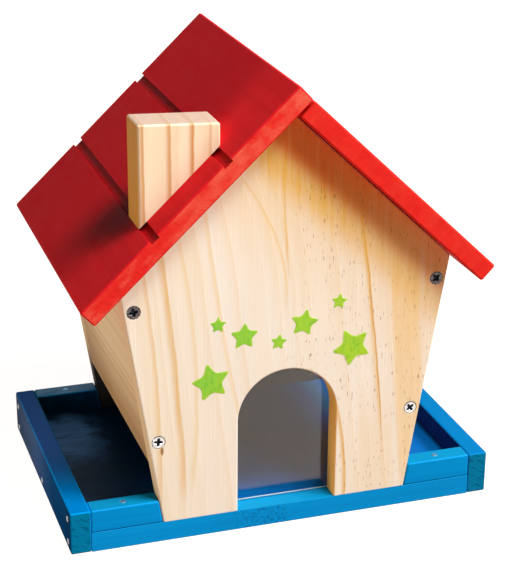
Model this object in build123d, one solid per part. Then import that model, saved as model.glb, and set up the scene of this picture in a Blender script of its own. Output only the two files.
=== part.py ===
from build123d import *
import os
from math import atan, cos, radians, sin, tan

# House-shaped hopper bird feeder. Millimetres, +Z up, front towards -Y.
# The origin is the centre of the base board's underside.

# Tray
tray_width = 200.0            # between the two side rails
tray_depth = 145.0
base_thickness = 10.5
rail_thickness = 10.3
rail_height = 22.5            # from the underside of the base
rail_end_gap = 0.3            # short rail to gable edge
rail_bevel = 0.6

# Gables and side walls
gable_thickness = 10.0
foot_width = 127.5
eave_width = 167.0
eave_height = 124.5           # foot to eave corner
roof_pitch = 43.4             # degrees
gable_bevel = 0.6
wall_thickness = 10.0
wall_bevel = 0.8
wall_top_gap = 1.0            # wall to the underside of the roof
feed_gap = 28.0               # seed slot between base and wall

# Doorway and clear pane
door_width = 51.0
door_jamb = 48.5              # straight part of the sides, below a half-round arch
pane_lap = 12.5               # pane beyond each jamb
pane_height = 86.0
pane_thickness = 1.5
pane_screw_edge = 6.0         # screw centre to the pane's edge

# Roof
roof_thickness = 10.0
roof_overhang = 8.75          # past the gables, front and back
eave_overhang = 18.5          # down the slope, past the eave corner
roof_bevel = 0.8
roof_courses = 3              # bands that the grooves divide the left panel into
groove_width = 5.2
groove_depth = 1.9
lid_gap = 0.4                 # lid to the gables that it lies on

# Chimney
chimney_width = 39.5
chimney_depth = 20.5
chimney_centre = 51.2         # left of the ridge
chimney_rise = 11.0           # height of its short side above the roof
chimney_fall = 1.8            # slope of its top, down to the ridge side
chimney_setback = 18.0        # behind the roof's front edge
chimney_bevel = 0.8
chimney_screw_spacing = 16.0

# Ridge hinges
hinge_length = 25.0
hinge_spacing = 90.0
leaf_width = 8.5
leaf_thickness = 0.5
leaf_play = 0.2               # between the closed leaves
leaf_screw_spacing = 14.0
knuckle_radius = 1.3
knuckle_room = 0.3            # wood and the other leaf clear of a knuckle
knuckle_gap = 0.25            # between neighbouring knuckles
pin_radius = 0.7
pin_hold = 0.02               # pin in the fixed knuckles, radial
pin_play = 0.06               # pin in the lid's knuckle, radial
pin_proud = 0.4               # pin past the knuckles, each end

# Screws, turned with flat sides
screw_sides = 12
fastener_room = 0.05          # fastener in its hole, radial
wood_screw_head = 3.5
wood_screw_shank = 1.6
wall_screw_length = 30.0
wall_screw_high = 113.0       # above the foot
wall_screw_low = 44.0
base_screw_length = 30.0
base_screw_spacing = 90.0
chimney_screw_length = 20.0
leaf_screw_head = 1.6
leaf_screw_shank = 0.8
leaf_screw_length = 7.5
screw_rim = 0.3               # upright rim round a sunk head
pane_screw_head = 2.0
pane_screw_shank = 1.0
pane_screw_length = 8.0
pane_screw_head_height = 1.2
pane_screw_crown = 0.5        # bevel round its top
cross_reach = 0.62            # driver cross, as shares of the head's radius
cross_width = 0.24
cross_depth = 0.40

# Nails
nail_sides = 8
nail_head = 1.5
nail_shank = 0.7
nail_head_height = 0.6
nail_proud = 0.25
rail_nail_length = 18.0
rail_nail_stagger = 1.7       # side nails behind the top nails
base_nail_height = 4.0
top_nail_length = 19.0
roof_nail_head = 1.0
roof_nail_length = 26.0
roof_nail_sink = 1.0          # punched in below the surface and filled over
roof_nail_from_ridge = 20.0
roof_nail_from_eave = 16.0    # up the slope from the eave corner

# Worked-out sizes and directions
front = -tray_depth / 2
floor_top = base_thickness
tray_side = tray_width / 2
pitch = radians(roof_pitch)
lean = (eave_width - foot_width) / 2 / eave_height
lean_angle = atan(lean)
eave_z = floor_top + eave_height
apex = Vector(0, 0, eave_z + eave_width / 2 * tan(pitch))
slope_length = eave_width / 2 / cos(pitch)
eave_reach = slope_length + eave_overhang
roof_front = front - roof_overhang
left_up = Vector(cos(pitch), 0, sin(pitch))
left_out = Vector(-sin(pitch), 0, cos(pitch))
right_down = Vector(cos(pitch), 0, -sin(pitch))
right_out = Vector(sin(pitch), 0, cos(pitch))
gable_middle = front + gable_thickness / 2
rail_middle = front + rail_thickness / 2

# The left panel runs past the apex, flush with the lid's top; the closed leaves fill the joint between them
lid_top = lid_gap + roof_thickness
ridge_gap = 2 * leaf_thickness + leaf_play
ridge_reach = lid_top / sin(2 * pitch)
lid_start = (ridge_gap + max(lid_gap * cos(2 * pitch), lid_top * cos(2 * pitch))) / sin(2 * pitch)
hinge_axis = apex + left_up * ridge_reach - left_out * (ridge_gap / 2)


def edge_x(z):
    """Half-width of a gable at height z, below its eaves."""
    return foot_width / 2 + (z - floor_top) * lean


def on_left(along, off, y=0.0):
    """Point on the left slope: up it from the apex, and off it."""
    return apex + left_up * along + left_out * off + Vector(0, y, 0)


def on_right(along, off, y=0.0):
    """Point on the right slope: down it from the apex, and off it."""
    return apex + right_down * along + right_out * off + Vector(0, y, 0)


def prism(corners, y_from, y_to):
    """Board of one outline in the XZ plane, from y_from to y_to."""
    outline = Polyline(*[(point.X, y_from, point.Z) for point in corners], close=True)
    return extrude(make_face(outline), amount=y_to - y_from, dir=(0, 1, 0))


def turned(outline, tip, sides):
    """Flat-sided form about Z through rings of (radius, height), from its head down to its tip."""
    turns = [radians(360 * side / sides) for side in range(sides)]
    rings = [
        [(radius * cos(turn), radius * sin(turn), height) for turn in turns]
        for radius, height in outline]
    faces = [Face(Wire.make_polygon(rings[0]))]
    for side in range(sides):
        for upper, lower in zip(rings, rings[1:]):
            corners = [upper[side - 1], upper[side], lower[side], lower[side - 1]]
            faces.append(Face(Wire.make_polygon(corners)))
        faces.append(Face(Wire.make_polygon([rings[-1][side - 1], rings[-1][side], (0, 0, tip)])))
    return Solid(Shell(faces))


def left_right(shapes):
    return [mirror(shape, about=Plane.YZ) for shape in shapes]


def front_back(shapes):
    return [mirror(shape, about=Plane.XZ) for shape in shapes]


def placed(shape, places):
    """Copies of a fastener, each with its head at a point and facing along a direction."""
    return [Plane(origin=point, z_dir=facing) * shape for point, facing in places]


def cross_slot(head):
    """Driver cross sunk into a head of this radius, centred on z = 0."""
    wing = Box(2 * head * cross_reach, head * cross_width, 2 * head * cross_depth)
    return wing + Rot(0, 0, 90) * wing


def sunk_screw(head, shank, length, room):
    """Countersunk screw down -Z from its flush head; with room it is the hole for one."""
    neck = -screw_rim - head + shank
    rings = [
        (head + room, room), (head + room, -screw_rim),
        (shank + room, neck), (shank + room, shank - length)]
    screw = turned(rings, -length - room, screw_sides)
    return screw if room else screw - cross_slot(head)


def wood_screw(length, room=0.0):
    return sunk_screw(wood_screw_head, wood_screw_shank, length, room)


def leaf_screw(room=0.0):
    return sunk_screw(leaf_screw_head, leaf_screw_shank, leaf_screw_length, room)


def pane_screw(room=0.0):
    """Small screw with a low bevelled head that stands on z = 0; with room it is the hole for its shank."""
    shank = pane_screw_shank + room
    tip = -pane_screw_length - room
    rings = [(shank, 0), (shank, shank - pane_screw_length)]
    if room:
        return turned(rings, tip, screw_sides)
    head = pane_screw_head
    top = pane_screw_head_height
    cap = [(head - pane_screw_crown, top), (head, top - pane_screw_crown), (head, 0)]
    return turned(cap + rings, tip, screw_sides) - Pos(0, 0, top) * cross_slot(head)


def flat_nail(head, length, proud, room):
    """Flat-headed nail down -Z; with room it is the hole for one."""
    under = proud - nail_head_height - room
    shank = nail_shank + room
    rings = [(head + room, proud + room), (head + room, under), (shank, under), (shank, nail_shank - length)]
    return turned(rings, -length - room, nail_sides)


def rail_nail(room=0.0):
    return flat_nail(nail_head, rail_nail_length, nail_proud, room)


def top_nail(room=0.0):
    return flat_nail(nail_head, top_nail_length, nail_proud, room)


def roof_nail(room=0.0):
    return flat_nail(roof_nail_head, roof_nail_length, 0.0, room)


# Where the fasteners sit: the point of the head, and the way that it faces
side_nail_y = rail_middle + rail_nail_stagger
short_rail_z = (floor_top + rail_height) / 2
left_nail_places = [
    ((-tray_side - rail_thickness, y, z), (-1, 0, 0))
    for y, z in (
        (side_nail_y, short_rail_z), (-side_nail_y, short_rail_z),
        (side_nail_y, base_nail_height), (0, base_nail_height), (-side_nail_y, base_nail_height))]
top_nail_x = (tray_side + edge_x(rail_height)) / 2
top_nail_places = [
    ((x, y, rail_height), (0, 0, 1)) for x in (-top_nail_x, top_nail_x) for y in (rail_middle, -rail_middle)]
wall_screw_inset = wall_thickness / 2 / cos(lean_angle)
wall_screw_places = [
    ((side * (edge_x(floor_top + height) - wall_screw_inset), front, floor_top + height), (0, -1, 0))
    for side in (-1, 1) for height in (wall_screw_high, wall_screw_low)]
base_screw_x = base_screw_spacing / 2
base_screw_places = [
    ((x, y, 0), (0, 0, -1)) for x in (-base_screw_x, base_screw_x) for y in (gable_middle, -gable_middle)]
pane_back = front + gable_thickness + pane_thickness
pane_half = door_width / 2 + pane_lap
pane_screw_x = pane_half - pane_screw_edge
pane_screw_places = [
    ((x, pane_back, floor_top + height), (0, 1, 0))
    for x in (-pane_screw_x, pane_screw_x) for height in (pane_screw_edge, pane_height - pane_screw_edge)]
roof_nail_places = [
    (on_left(along, roof_thickness - roof_nail_sink, y), left_out)
    for along in (-roof_nail_from_ridge, roof_nail_from_eave - slope_length)
    for y in (gable_middle, -gable_middle)]
chimney_front = roof_front + chimney_setback
chimney_along = (roof_thickness * sin(pitch) - chimney_centre) / cos(pitch)
chimney_screw_places = [
    (on_left(chimney_along + step, 0, chimney_front + chimney_depth / 2), -left_out)
    for step in (-chimney_screw_spacing / 2, chimney_screw_spacing / 2)]
hinge_ys = {"front": -hinge_spacing / 2, "back": hinge_spacing / 2}
leaf_screw_ys = [
    y + step for y in hinge_ys.values() for step in (-leaf_screw_spacing / 2, leaf_screw_spacing / 2)]
fixed_leaf_places = [
    (on_left(ridge_reach - leaf_width / 2, -leaf_thickness, y), -left_out) for y in leaf_screw_ys]
lid_leaf_places = [
    (on_right(lid_start - leaf_thickness, lid_top - leaf_width / 2, y), -right_down) for y in leaf_screw_ys]


def make_base_board():
    """Floor of the tray and of the house."""
    board = Pos(0, 0, base_thickness / 2) * Box(tray_width, tray_depth, base_thickness)
    side_holes = placed(rail_nail(fastener_room), left_nail_places)
    board = board - side_holes - left_right(side_holes)
    board = board - placed(top_nail(fastener_room), top_nail_places)
    return board - placed(wood_screw(base_screw_length, fastener_room), base_screw_places)


def make_left_rail():
    """Full-depth rail, nailed through into the base and the short rails."""
    middle = Pos(-tray_side - rail_thickness / 2, 0, rail_height / 2)
    rail = middle * Box(rail_thickness, tray_depth, rail_height)
    rail = chamfer(rail.edges(), rail_bevel)
    return rail - placed(rail_nail(fastener_room), left_nail_places)


def make_front_left_rail():
    """Short rail on the base, its inner end cut to the gable's lean."""
    rail = prism([
        Vector(-tray_side, 0, floor_top),
        Vector(-edge_x(floor_top) - rail_end_gap, 0, floor_top),
        Vector(-edge_x(rail_height) - rail_end_gap, 0, rail_height),
        Vector(-tray_side, 0, rail_height)], front, front + rail_thickness)
    rail = chamfer(rail.edges(), rail_bevel)
    rail = rail - placed(rail_nail(fastener_room), left_nail_places)
    return rail - placed(top_nail(fastener_room), top_nail_places)


def make_gable(doorway=None):
    """Front gable board, drilled, with its outer face's edges eased."""
    board = prism([
        Vector(-foot_width / 2, 0, floor_top), Vector(foot_width / 2, 0, floor_top),
        Vector(eave_width / 2, 0, eave_z), apex, Vector(-eave_width / 2, 0, eave_z)],
        front, front + gable_thickness)
    if doorway:
        board = board - doorway
    outline = board.edges().group_by(Axis.Y)[0]
    board = chamfer(outline.filter_by(lambda edge: edge.center().Z > floor_top + gable_bevel), gable_bevel)
    board = board - placed(wood_screw(wall_screw_length, fastener_room), wall_screw_places)
    board = board - placed(wood_screw(base_screw_length, fastener_room), base_screw_places)
    return board - placed(roof_nail(fastener_room), roof_nail_places)


def make_front_panel():
    """Gable with an arched doorway, open at the foot."""
    jambs = Pos(0, door_jamb / 2) * Rectangle(door_width, door_jamb)
    shape = jambs + Pos(0, door_jamb) * Circle(door_width / 2)
    doorway = extrude(Plane((0, 0, floor_top), x_dir=(1, 0, 0), z_dir=(0, -1, 0)) * shape, amount=tray_depth)
    return make_gable(doorway) - placed(pane_screw(fastener_room), pane_screw_places)


def make_left_wall():
    """Leaning wall between the gables, flush with their edges and cut square at both ends."""
    up = Vector(-sin(lean_angle), 0, cos(lean_angle))
    inward = Vector(cos(lean_angle), 0, sin(lean_angle)) * wall_thickness
    low = Vector(-edge_x(floor_top + feed_gap), 0, floor_top + feed_gap)
    high = Vector(-eave_width / 2, 0, eave_z) - up * wall_top_gap
    wall = prism([low, low + inward, high + inward, high], front + gable_thickness, -front - gable_thickness)
    wall = chamfer(wall.edges().filter_by(Axis.Y), wall_bevel)
    holes = placed(wood_screw(wall_screw_length, fastener_room), wall_screw_places)
    return wall - holes - front_back(holes)


def make_window_pane():
    """Clear sheet that stands on the base and closes the doorway from behind."""
    pane = Pos(0, pane_back - pane_thickness / 2, floor_top + pane_height / 2) * Box(
        2 * pane_half, pane_thickness, pane_height)
    return pane - placed(pane_screw(fastener_room), pane_screw_places)


def along_ridge(radius, length, y):
    """Cylinder on the hinges' axis, centred at y."""
    return Pos(hinge_axis.X, y, hinge_axis.Z) * Rot(90, 0, 0) * Cylinder(radius, length)


def knuckle_seats():
    """Rounded recesses for the hinge knuckles in the two panels' corners."""
    length = hinge_length + 2 * (pin_proud + knuckle_room)
    return [along_ridge(knuckle_radius + knuckle_room, length, y) for y in hinge_ys.values()]


def roof_board(corners):
    """Roof panel over the whole depth, its edges eased, with the knuckle seats."""
    board = prism(corners, roof_front, -roof_front)
    return chamfer(board.edges(), roof_bevel) - knuckle_seats()


def roof_groove(middle):
    """Shallow groove across the left panel, open at its front and back edges."""
    low = middle - groove_width / 2
    high = middle + groove_width / 2
    bed = roof_thickness - groove_depth
    clear = roof_thickness + groove_depth
    corners = [on_left(low, bed), on_left(high, bed), on_left(high, clear), on_left(low, clear)]
    return prism(corners, roof_front - groove_depth, groove_depth - roof_front)


def make_left_roof_panel():
    """Fixed roof panel, which runs past the apex and covers the lid's end."""
    panel = roof_board([
        on_left(-eave_reach, 0), on_left(ridge_reach, 0),
        on_left(ridge_reach, roof_thickness), on_left(-eave_reach, roof_thickness)])
    course = (eave_reach + ridge_reach) / roof_courses
    panel = panel - [roof_groove(count * course - eave_reach) for count in range(1, roof_courses)]
    panel = panel - placed(roof_nail(fastener_room), roof_nail_places)
    panel = panel - placed(wood_screw(chimney_screw_length, fastener_room), chimney_screw_places)
    return panel - placed(leaf_screw(fastener_room), fixed_leaf_places)


def make_right_roof_panel():
    """Lid, hinged at the ridge, lying on the gables' right slopes."""
    panel = roof_board([
        on_right(lid_start, lid_gap), on_right(eave_reach, lid_gap),
        on_right(eave_reach, lid_top), on_right(lid_start, lid_top)])
    return panel - placed(leaf_screw(fastener_room), lid_leaf_places)


def make_chimney():
    """Block whose foot is cut to the roof's pitch."""
    half_along = chimney_width / 2 / cos(pitch)
    foot_left = on_left(chimney_along - half_along, roof_thickness)
    foot_right = on_left(chimney_along + half_along, roof_thickness)
    rise = Vector(0, 0, chimney_rise)
    top_left = Vector(foot_left.X, 0, foot_right.Z + chimney_fall) + rise
    corners = [foot_left, foot_right, foot_right + rise, top_left]
    block = prism(corners, chimney_front, chimney_front + chimney_depth)
    top = block.faces().sort_by(Axis.Z)[-1]
    block = chamfer(block.edges().filter_by(Axis.Z) + top.edges(), chimney_bevel)
    return block - placed(wood_screw(chimney_screw_length, fastener_room), chimney_screw_places)


knuckle_length = (hinge_length - 2 * knuckle_gap) / 3
knuckle_step = knuckle_length + knuckle_gap


def hinge_leaf(corners, y, own_steps, other_steps, pin_room, screw_places):
    """Leaf with its own knuckles, clear of the other leaf's, bored for the pin."""
    leaf = prism(corners, y - hinge_length / 2, y + hinge_length / 2)
    wide = knuckle_length + 2 * knuckle_gap
    leaf = leaf - [along_ridge(knuckle_radius + knuckle_room, wide, y + step) for step in other_steps]
    leaf = leaf + [along_ridge(knuckle_radius, knuckle_length, y + step) for step in own_steps]
    leaf = leaf - along_ridge(pin_radius + pin_room, 2 * hinge_length, y)
    return leaf - placed(leaf_screw(fastener_room), screw_places)


outer_steps = (-knuckle_step, knuckle_step)
middle_steps = (0,)


def make_fixed_leaf(y):
    """Leaf under the left panel's end, with the outer knuckles."""
    corners = [
        on_left(ridge_reach, -leaf_thickness), on_left(ridge_reach, 0),
        on_left(ridge_reach - leaf_width, 0), on_left(ridge_reach - leaf_width, -leaf_thickness)]
    return hinge_leaf(corners, y, outer_steps, middle_steps, pin_hold, fixed_leaf_places)


def make_lid_leaf(y):
    """Leaf on the lid's end, with the middle knuckle."""
    end = lid_start - leaf_thickness
    corners = [
        on_right(end, lid_top), on_right(lid_start, lid_top),
        on_right(lid_start, lid_top - leaf_width), on_right(end, lid_top - leaf_width)]
    return hinge_leaf(corners, y, middle_steps, outer_steps, pin_play, lid_leaf_places)


left_rail = make_left_rail()
front_left_rail = make_front_left_rail()
front_right_rail, = left_right([front_left_rail])
left_wall = make_left_wall()
left_rail_nails = placed(rail_nail(), left_nail_places)
front_wall_screws = placed(wood_screw(wall_screw_length), wall_screw_places)

nodes = {
    "base_board": [make_base_board()],
    "left_rail": [left_rail],
    "right_rail": left_right([left_rail]),
    "front_left_rail": [front_left_rail],
    "front_right_rail": [front_right_rail],
    "back_left_rail": front_back([front_left_rail]),
    "back_right_rail": front_back([front_right_rail]),
    "left_rail_nails": left_rail_nails,
    "right_rail_nails": left_right(left_rail_nails),
    "short_rail_nails": placed(top_nail(), top_nail_places),
    "front_panel": [make_front_panel()],
    "back_panel": front_back([make_gable()]),
    "base_screws": placed(wood_screw(base_screw_length), base_screw_places),
    "left_wall": [left_wall],
    "right_wall": left_right([left_wall]),
    "front_wall_screws": front_wall_screws,
    "back_wall_screws": front_back(front_wall_screws),
    "window_pane": [make_window_pane()],
    "window_screws": placed(pane_screw(), pane_screw_places),
    "left_roof_panel": [make_left_roof_panel()],
    "left_roof_nails": placed(roof_nail(), roof_nail_places),
    "chimney": [make_chimney()],
    "chimney_screws": placed(wood_screw(chimney_screw_length), chimney_screw_places),
    "right_roof_panel": [make_right_roof_panel()],
    "fixed_leaf_screws": placed(leaf_screw(), fixed_leaf_places),
    "lid_leaf_screws": placed(leaf_screw(), lid_leaf_places),
}
for place, y in hinge_ys.items():
    nodes[f"{place}_hinge_fixed_leaf"] = [make_fixed_leaf(y)]
    nodes[f"{place}_hinge_lid_leaf"] = [make_lid_leaf(y)]
    nodes[f"{place}_hinge_pin"] = [along_ridge(pin_radius, hinge_length + 2 * pin_proud, y)]

os.makedirs("parts", exist_ok=True)
for name, pieces in nodes.items():
    solids = [solid for piece in pieces for solid in piece.solids()]
    export_step(solids[0] if len(solids) == 1 else Compound(children=solids), f"parts/{name}.step")

print(f"hinge axis x {hinge_axis.X:.4f} z {hinge_axis.Z:.4f}, apex z {apex.Z:.3f}")
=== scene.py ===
import math
import random

import bmesh
import bpy
from mathutils import Matrix, Vector


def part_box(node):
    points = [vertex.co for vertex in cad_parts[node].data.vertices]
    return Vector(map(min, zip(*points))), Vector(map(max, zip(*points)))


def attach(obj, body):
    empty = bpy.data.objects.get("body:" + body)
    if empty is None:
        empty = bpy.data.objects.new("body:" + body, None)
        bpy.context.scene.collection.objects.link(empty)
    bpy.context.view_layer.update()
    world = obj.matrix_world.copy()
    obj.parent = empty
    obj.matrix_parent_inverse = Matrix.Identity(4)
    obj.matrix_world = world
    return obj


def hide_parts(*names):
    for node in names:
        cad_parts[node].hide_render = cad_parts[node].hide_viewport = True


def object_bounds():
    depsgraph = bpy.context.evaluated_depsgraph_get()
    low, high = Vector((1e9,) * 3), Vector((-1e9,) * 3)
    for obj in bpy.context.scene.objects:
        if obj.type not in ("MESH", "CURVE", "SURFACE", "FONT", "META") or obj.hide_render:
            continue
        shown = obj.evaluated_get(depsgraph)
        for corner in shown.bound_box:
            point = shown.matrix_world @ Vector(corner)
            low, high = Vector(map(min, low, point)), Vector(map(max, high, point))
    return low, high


# Looks of a wooden house-shaped bird feeder. Lengths are in millimetres unless MM scales them to metres.
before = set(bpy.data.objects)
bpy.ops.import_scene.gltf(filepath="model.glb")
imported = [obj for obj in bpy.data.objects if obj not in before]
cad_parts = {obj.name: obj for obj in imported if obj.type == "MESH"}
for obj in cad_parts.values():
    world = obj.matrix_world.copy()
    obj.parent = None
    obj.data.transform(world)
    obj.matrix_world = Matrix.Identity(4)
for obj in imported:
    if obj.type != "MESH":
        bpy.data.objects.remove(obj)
cad_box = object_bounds()
MM = 0.001


def tone(red, green, blue):
    """Linear colour of a tone as it looks on screen, 0 to 255."""
    shares = [value / 255 for value in (red, green, blue)]
    return (*[s / 12.92 if s <= 0.04045 else ((s + 0.055) / 1.055) ** 2.4 for s in shares], 1.0)


# Pine: pale wood, warm wood and growth bands, then its lines and marks, with tones of painted shade and
# shadow among them
FRONT_PINE = (tone(244, 238, 228), tone(244, 230, 200), tone(234, 204, 150))
SIDE_PINE = (tone(250, 222, 176), tone(246, 208, 154), tone(224, 174, 112))
CHIMNEY_PINE = (tone(248, 233, 203), tone(246, 218, 172), tone(232, 184, 122))
DARK_LINE = tone(226, 180, 98)
LINE_EDGE = tone(204, 150, 84)
SOFT_LINE = tone(236, 206, 148)
CHIMNEY_LINE = tone(208, 146, 78)
YELLOW_ZONE = tone(238, 200, 128)
RESIN = tone(150, 92, 46)
PITCH_BROWN = tone(152, 108, 46)
# Painted shade: the back panel's foot, the right wall's inner side and the doorway's right side
DEEP_SHADE = tone(24, 20, 20)
# Painted shade at the foot of a side wall
WALL_FOOT = tone(178, 126, 72)
# Painted shade on sides that look left: the chimney's and the doorway's sides, and the panels' sawn edges
SHADE_TAN = tone(255, 180, 50)
SHADE_SAWN = tone(250, 212, 156)
# Painted shadow of the lid on the front panel
LID_SHADOW = tone(234, 128, 66)
# Partly painted shadow: the yellow edge of the lid's shadow, then the wood's own yellower tone further down
OCHRE = tone(233, 182, 84)
CUT_PINK = tone(190, 162, 146)

# Red paint: coat, deep coat and worn coat, then its painted light and shade
RED_TONES = (tone(230, 46, 39), tone(216, 36, 33), tone(240, 112, 90))
RED_ROOF = (tone(226, 32, 40), tone(212, 24, 33), tone(240, 112, 90))
# Painted shade: the deeper coat behind the roof's bright front edge
RED_BACK = tone(198, 17, 29)
# Painted shade: the chimney's shadow on the roof and the floors of its grooves
RED_SHADE = tone(96, 6, 12)

# Blue paint: coat, deep coat and worn coat, then a smudge, rubbed wear and the tones of painted light, sheen
# and shade
BLUE_TONES = (tone(0, 150, 226), tone(0, 134, 210), tone(104, 174, 212))
RAIL_TONES = (tone(0, 130, 202), tone(0, 110, 184), tone(0, 46, 84))
BLUE_SMUDGE = tone(0, 84, 146)
# Painted shade on the tray's floor
BLUE_SHADE = tone(0, 24, 52)
# Painted pool of light on the tray's floor at the left
BLUE_LIGHT_POOL = tone(84, 160, 255)
# Painted shade on the right rail's inner side
RAIL_SHADE = tone(22, 24, 92)
# Painted shade on the tray's floor at the right
RIGHT_FLOOR = tone(0, 98, 178)
# Painted shade on the right rail's top
RIGHT_TOP = tone(0, 112, 172)
# Deeper blue inside the hopper, partly painted shade
BLUE_INSIDE = tone(0, 60, 128)
# Painted shade on the left rail's outer side
BLUE_SIDE_SHADE = tone(18, 42, 84)
# Painted sheen on the left rail's outer side
BLUE_SHEEN = tone(92, 112, 146)
# Painted shade on blue faces that look up
BLUE_TOP = tone(0, 130, 176)
# Painted shade on the left rail's top
LEFT_TOP = tone(0, 112, 184)
# Painted light on the left rail's top, towards the back
BLUE_PALE = tone(66, 130, 255)
# Painted shade on the back rails' inner sides
BACK_SHADE = tone(0, 10, 24)
# Rubbed pale coat on the back rails' tops, partly painted light and sheen
BACK_TOP = tone(112, 184, 255)
RAIL_ENDS = (tone(6, 122, 164), tone(4, 72, 106))

# Star paint
GREEN = tone(136, 204, 64)
DEEP_GREEN = tone(108, 184, 44)
LIME = tone(164, 208, 46)
PALE_LIME = tone(184, 220, 92)

# Metal and clear sheet
ZINC = tone(208, 213, 217)
PAINTED_STEEL = tone(96, 140, 168)
DARK_ZINC = tone(92, 88, 90)
# Painted shade in the driver crosses and the gaps round the screw heads
RECESS_SHADE = tone(34, 42, 50)
DULL_STEEL = tone(150, 148, 145)
BRASS = tone(222, 186, 110)
PANE_TINT = (0.96, 0.98, 0.98)
PANE_EDGE = (0.42, 0.47, 0.50)
ACRYLIC_IOR = 1.49
WHITE = (1.0, 1.0, 1.0, 1.0)

# Camera at the photograph's viewing angle, for a picture 568 pixels high
PICTURE_HEIGHT = 568
FOCAL_PIXELS = 1641.8
SENSOR_WIDTH = 36.0
CAMERA_PLACE = Vector((-242.66, -759.89, 416.20))
CAMERA_AZIMUTH = math.radians(18.15)
CAMERA_ELEVATION = math.radians(21.505)
CAMERA_ROLL = math.radians(-0.41)
NEAREST_SEEN = 10.0

# Studio: two large lamps above the front, two small cards low on the left, a weak even light
KEY_FROM = Vector((0.66, -0.38, 0.68))
KEY_DISTANCE = 1300.0
KEY_SIZE = 480.0
KEY_POWER = 17.8
TOP_FROM = Vector((0.27, -0.53, 1.12))
TOP_DISTANCE = 1300.0
TOP_SIZE = 420.0
TOP_POWER = 12.1
CARD_PLACE = Vector((-205.0, -10.0, 34.0))
CARD_AIM = Vector((-72.0, 0.0, 90.0))
CARD_SIZE = 70.0
CARD_POWER = 0.068
LOW_PLACE = Vector((-260.0, -420.0, 10.0))
LOW_AIM = Vector((0.0, -72.0, 60.0))
LOW_SIZE = 120.0
LOW_POWER = 0.56
FILL = (0.15, 0.11, 0.07, 1.0)
FLOOR_WIDTH = 12000.0
FLOOR_DROP = 0.05
FLOOR_SHADE = (0.34, 0.21, 0.12, 1.0)
FLOOR_GLOW = 0.96
FLOOR_CLEAR = (180.0, 650.0)

# Softened edges of the boards
EDGE_ROUND = 0.35
EDGE_STEPS = 2
SHARP_ANGLE = math.radians(30)
SAME_CORNER = 0.001

# Wood: height from which the grain bows, and how much darker end grain is
BOW_FROM = 130.0
END_GRAIN_DEPTH = 0.24
ROOF_PITCH = math.radians(43.4)

# Marks on the faces of one side come in as the direction turns from the first share to the second
UPWARD = (0.8, 0.95)
NEARLY_UPWARD = (0.7, 0.95)
FRONTWARD = (-0.7, -0.95)
LEFTWARD = (-0.6, -0.9)

# Stars painted on the front: place across and up, width across the points, turn in degrees
STARS = [
    (-35.6, 112.2, 8.6, 2), (-22.4, 104.8, 14.5, 2), (-39.2, 82.6, 20.2, -11), (-5.0, 99.6, 8.7, 9),
    (7.9, 108.1, 14.8, 12), (33.2, 92.2, 20.8, -26), (25.8, 117.2, 8.4, 8)]
STAR_THICKNESS = 0.12
STAR_SUNK = 0.05
STAR_CORNERS = 10
STAR_POINT = 1.06
STAR_WAIST = 0.53
STAR_TIP_ROUND = 0.34
STAR_WAIST_ROUND = 0.8 * STAR_TIP_ROUND
STAR_ROUND_STEPS = 5
STAR_RIM = 0.90
STAR_WOBBLE = 0.035
STAR_SEED = 7

# Strong grain lines: place across at the lines' level, lean, curve, half width, strength, height range, tone
LINE_LEVEL = 100
FRONT_LINES = [
    (-67.0, -0.079, -0.00064, 1.7, 0.50, 20, 150, DARK_LINE),
    (-57.2, -0.091, -0.00038, 2.2, 0.70, 25, 155, DARK_LINE),
    (-46.8, -0.062, -0.0012, 1.6, 0.50, 30, 160, SOFT_LINE),
    (-31.5, -0.169, 0.0004, 1.5, 0.50, 60, 175, SOFT_LINE),
    (-3.7, 0.25, -0.0058, 1.1, 0.60, 118, 188, SOFT_LINE),
    (3.2, -0.118, 0.0005, 1.0, 0.60, 140, 192, DARK_LINE),
    (44.6, -0.122, -0.0003, 1.3, 0.80, 55, 170, DARK_LINE),
    (44.7, -0.122, -0.0003, 0.5, 0.80, 40, 170, LINE_EDGE),
    (13.9, -0.409, -0.0024, 1.5, 0.85, 6, 62, DARK_LINE)]
# Yellower bands of the front: place across at the lines' level, lean, half width, strength, height range
FRONT_ZONES = [
    (61.5, -0.08, 9.0, 0.55, 10, 140), (44.0, -0.05, 12.0, 0.25, 0, 60), (-30.0, -0.5, 12.0, 0.1, 130, 190)]
CHIMNEY_LINES = [
    (-68.4, 0, 0, 1.5, 0.80, 120, 240, CHIMNEY_LINE), (-55.8, 0, 0, 1.5, 0.85, 120, 240, CHIMNEY_LINE),
    (-44.6, 0, 0, 1.6, 0.85, 120, 240, CHIMNEY_LINE), (-36.0, 0, 0, 1.2, 0.55, 120, 240, CHIMNEY_LINE)]

# Fasteners
HEAD_SIDES = 40
HEAD_RINGS = 16
HEAD_CROWN = 0.12
STANDING_CROWN = 0.45
HEAD_RIM = 0.3
HEAD_SEEN = 0.93
HEAD_GAP_DEPTH = 0.45
CROSS_REACH = 0.60
CROSS_WIDTH = 0.17
CROSS_ROOT = 1.15
CROSS_TAPER = 0.5
CROSS_DEPTH = 0.42
CROSS_EDGE = 0.16
CROSS_DARK_FROM = 0.4
SHANK_SHARE = 0.457
THREAD_PITCH = 1.9
THREAD_DEPTH = 0.28
THREAD_STEPS = 6
NAIL_HEAD_HEIGHT = 0.6
NAIL_COVER = 0.08
NAIL_SHANK = 0.7
PANE_SCREW_STANDS = 1.2
PANE_SHANK_SHARE = 0.5
# Turns of the crosses in degrees: first one and step, and on the front by right side and upper row
CROSS_TURN = 25
CROSS_TURN_STEP = 40
UPPER_SCREWS_FROM = 80.0
FRONT_CROSS_TURNS = {(False, True): 12, (False, False): -6, (True, True): 42, (True, False): 36}


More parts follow.
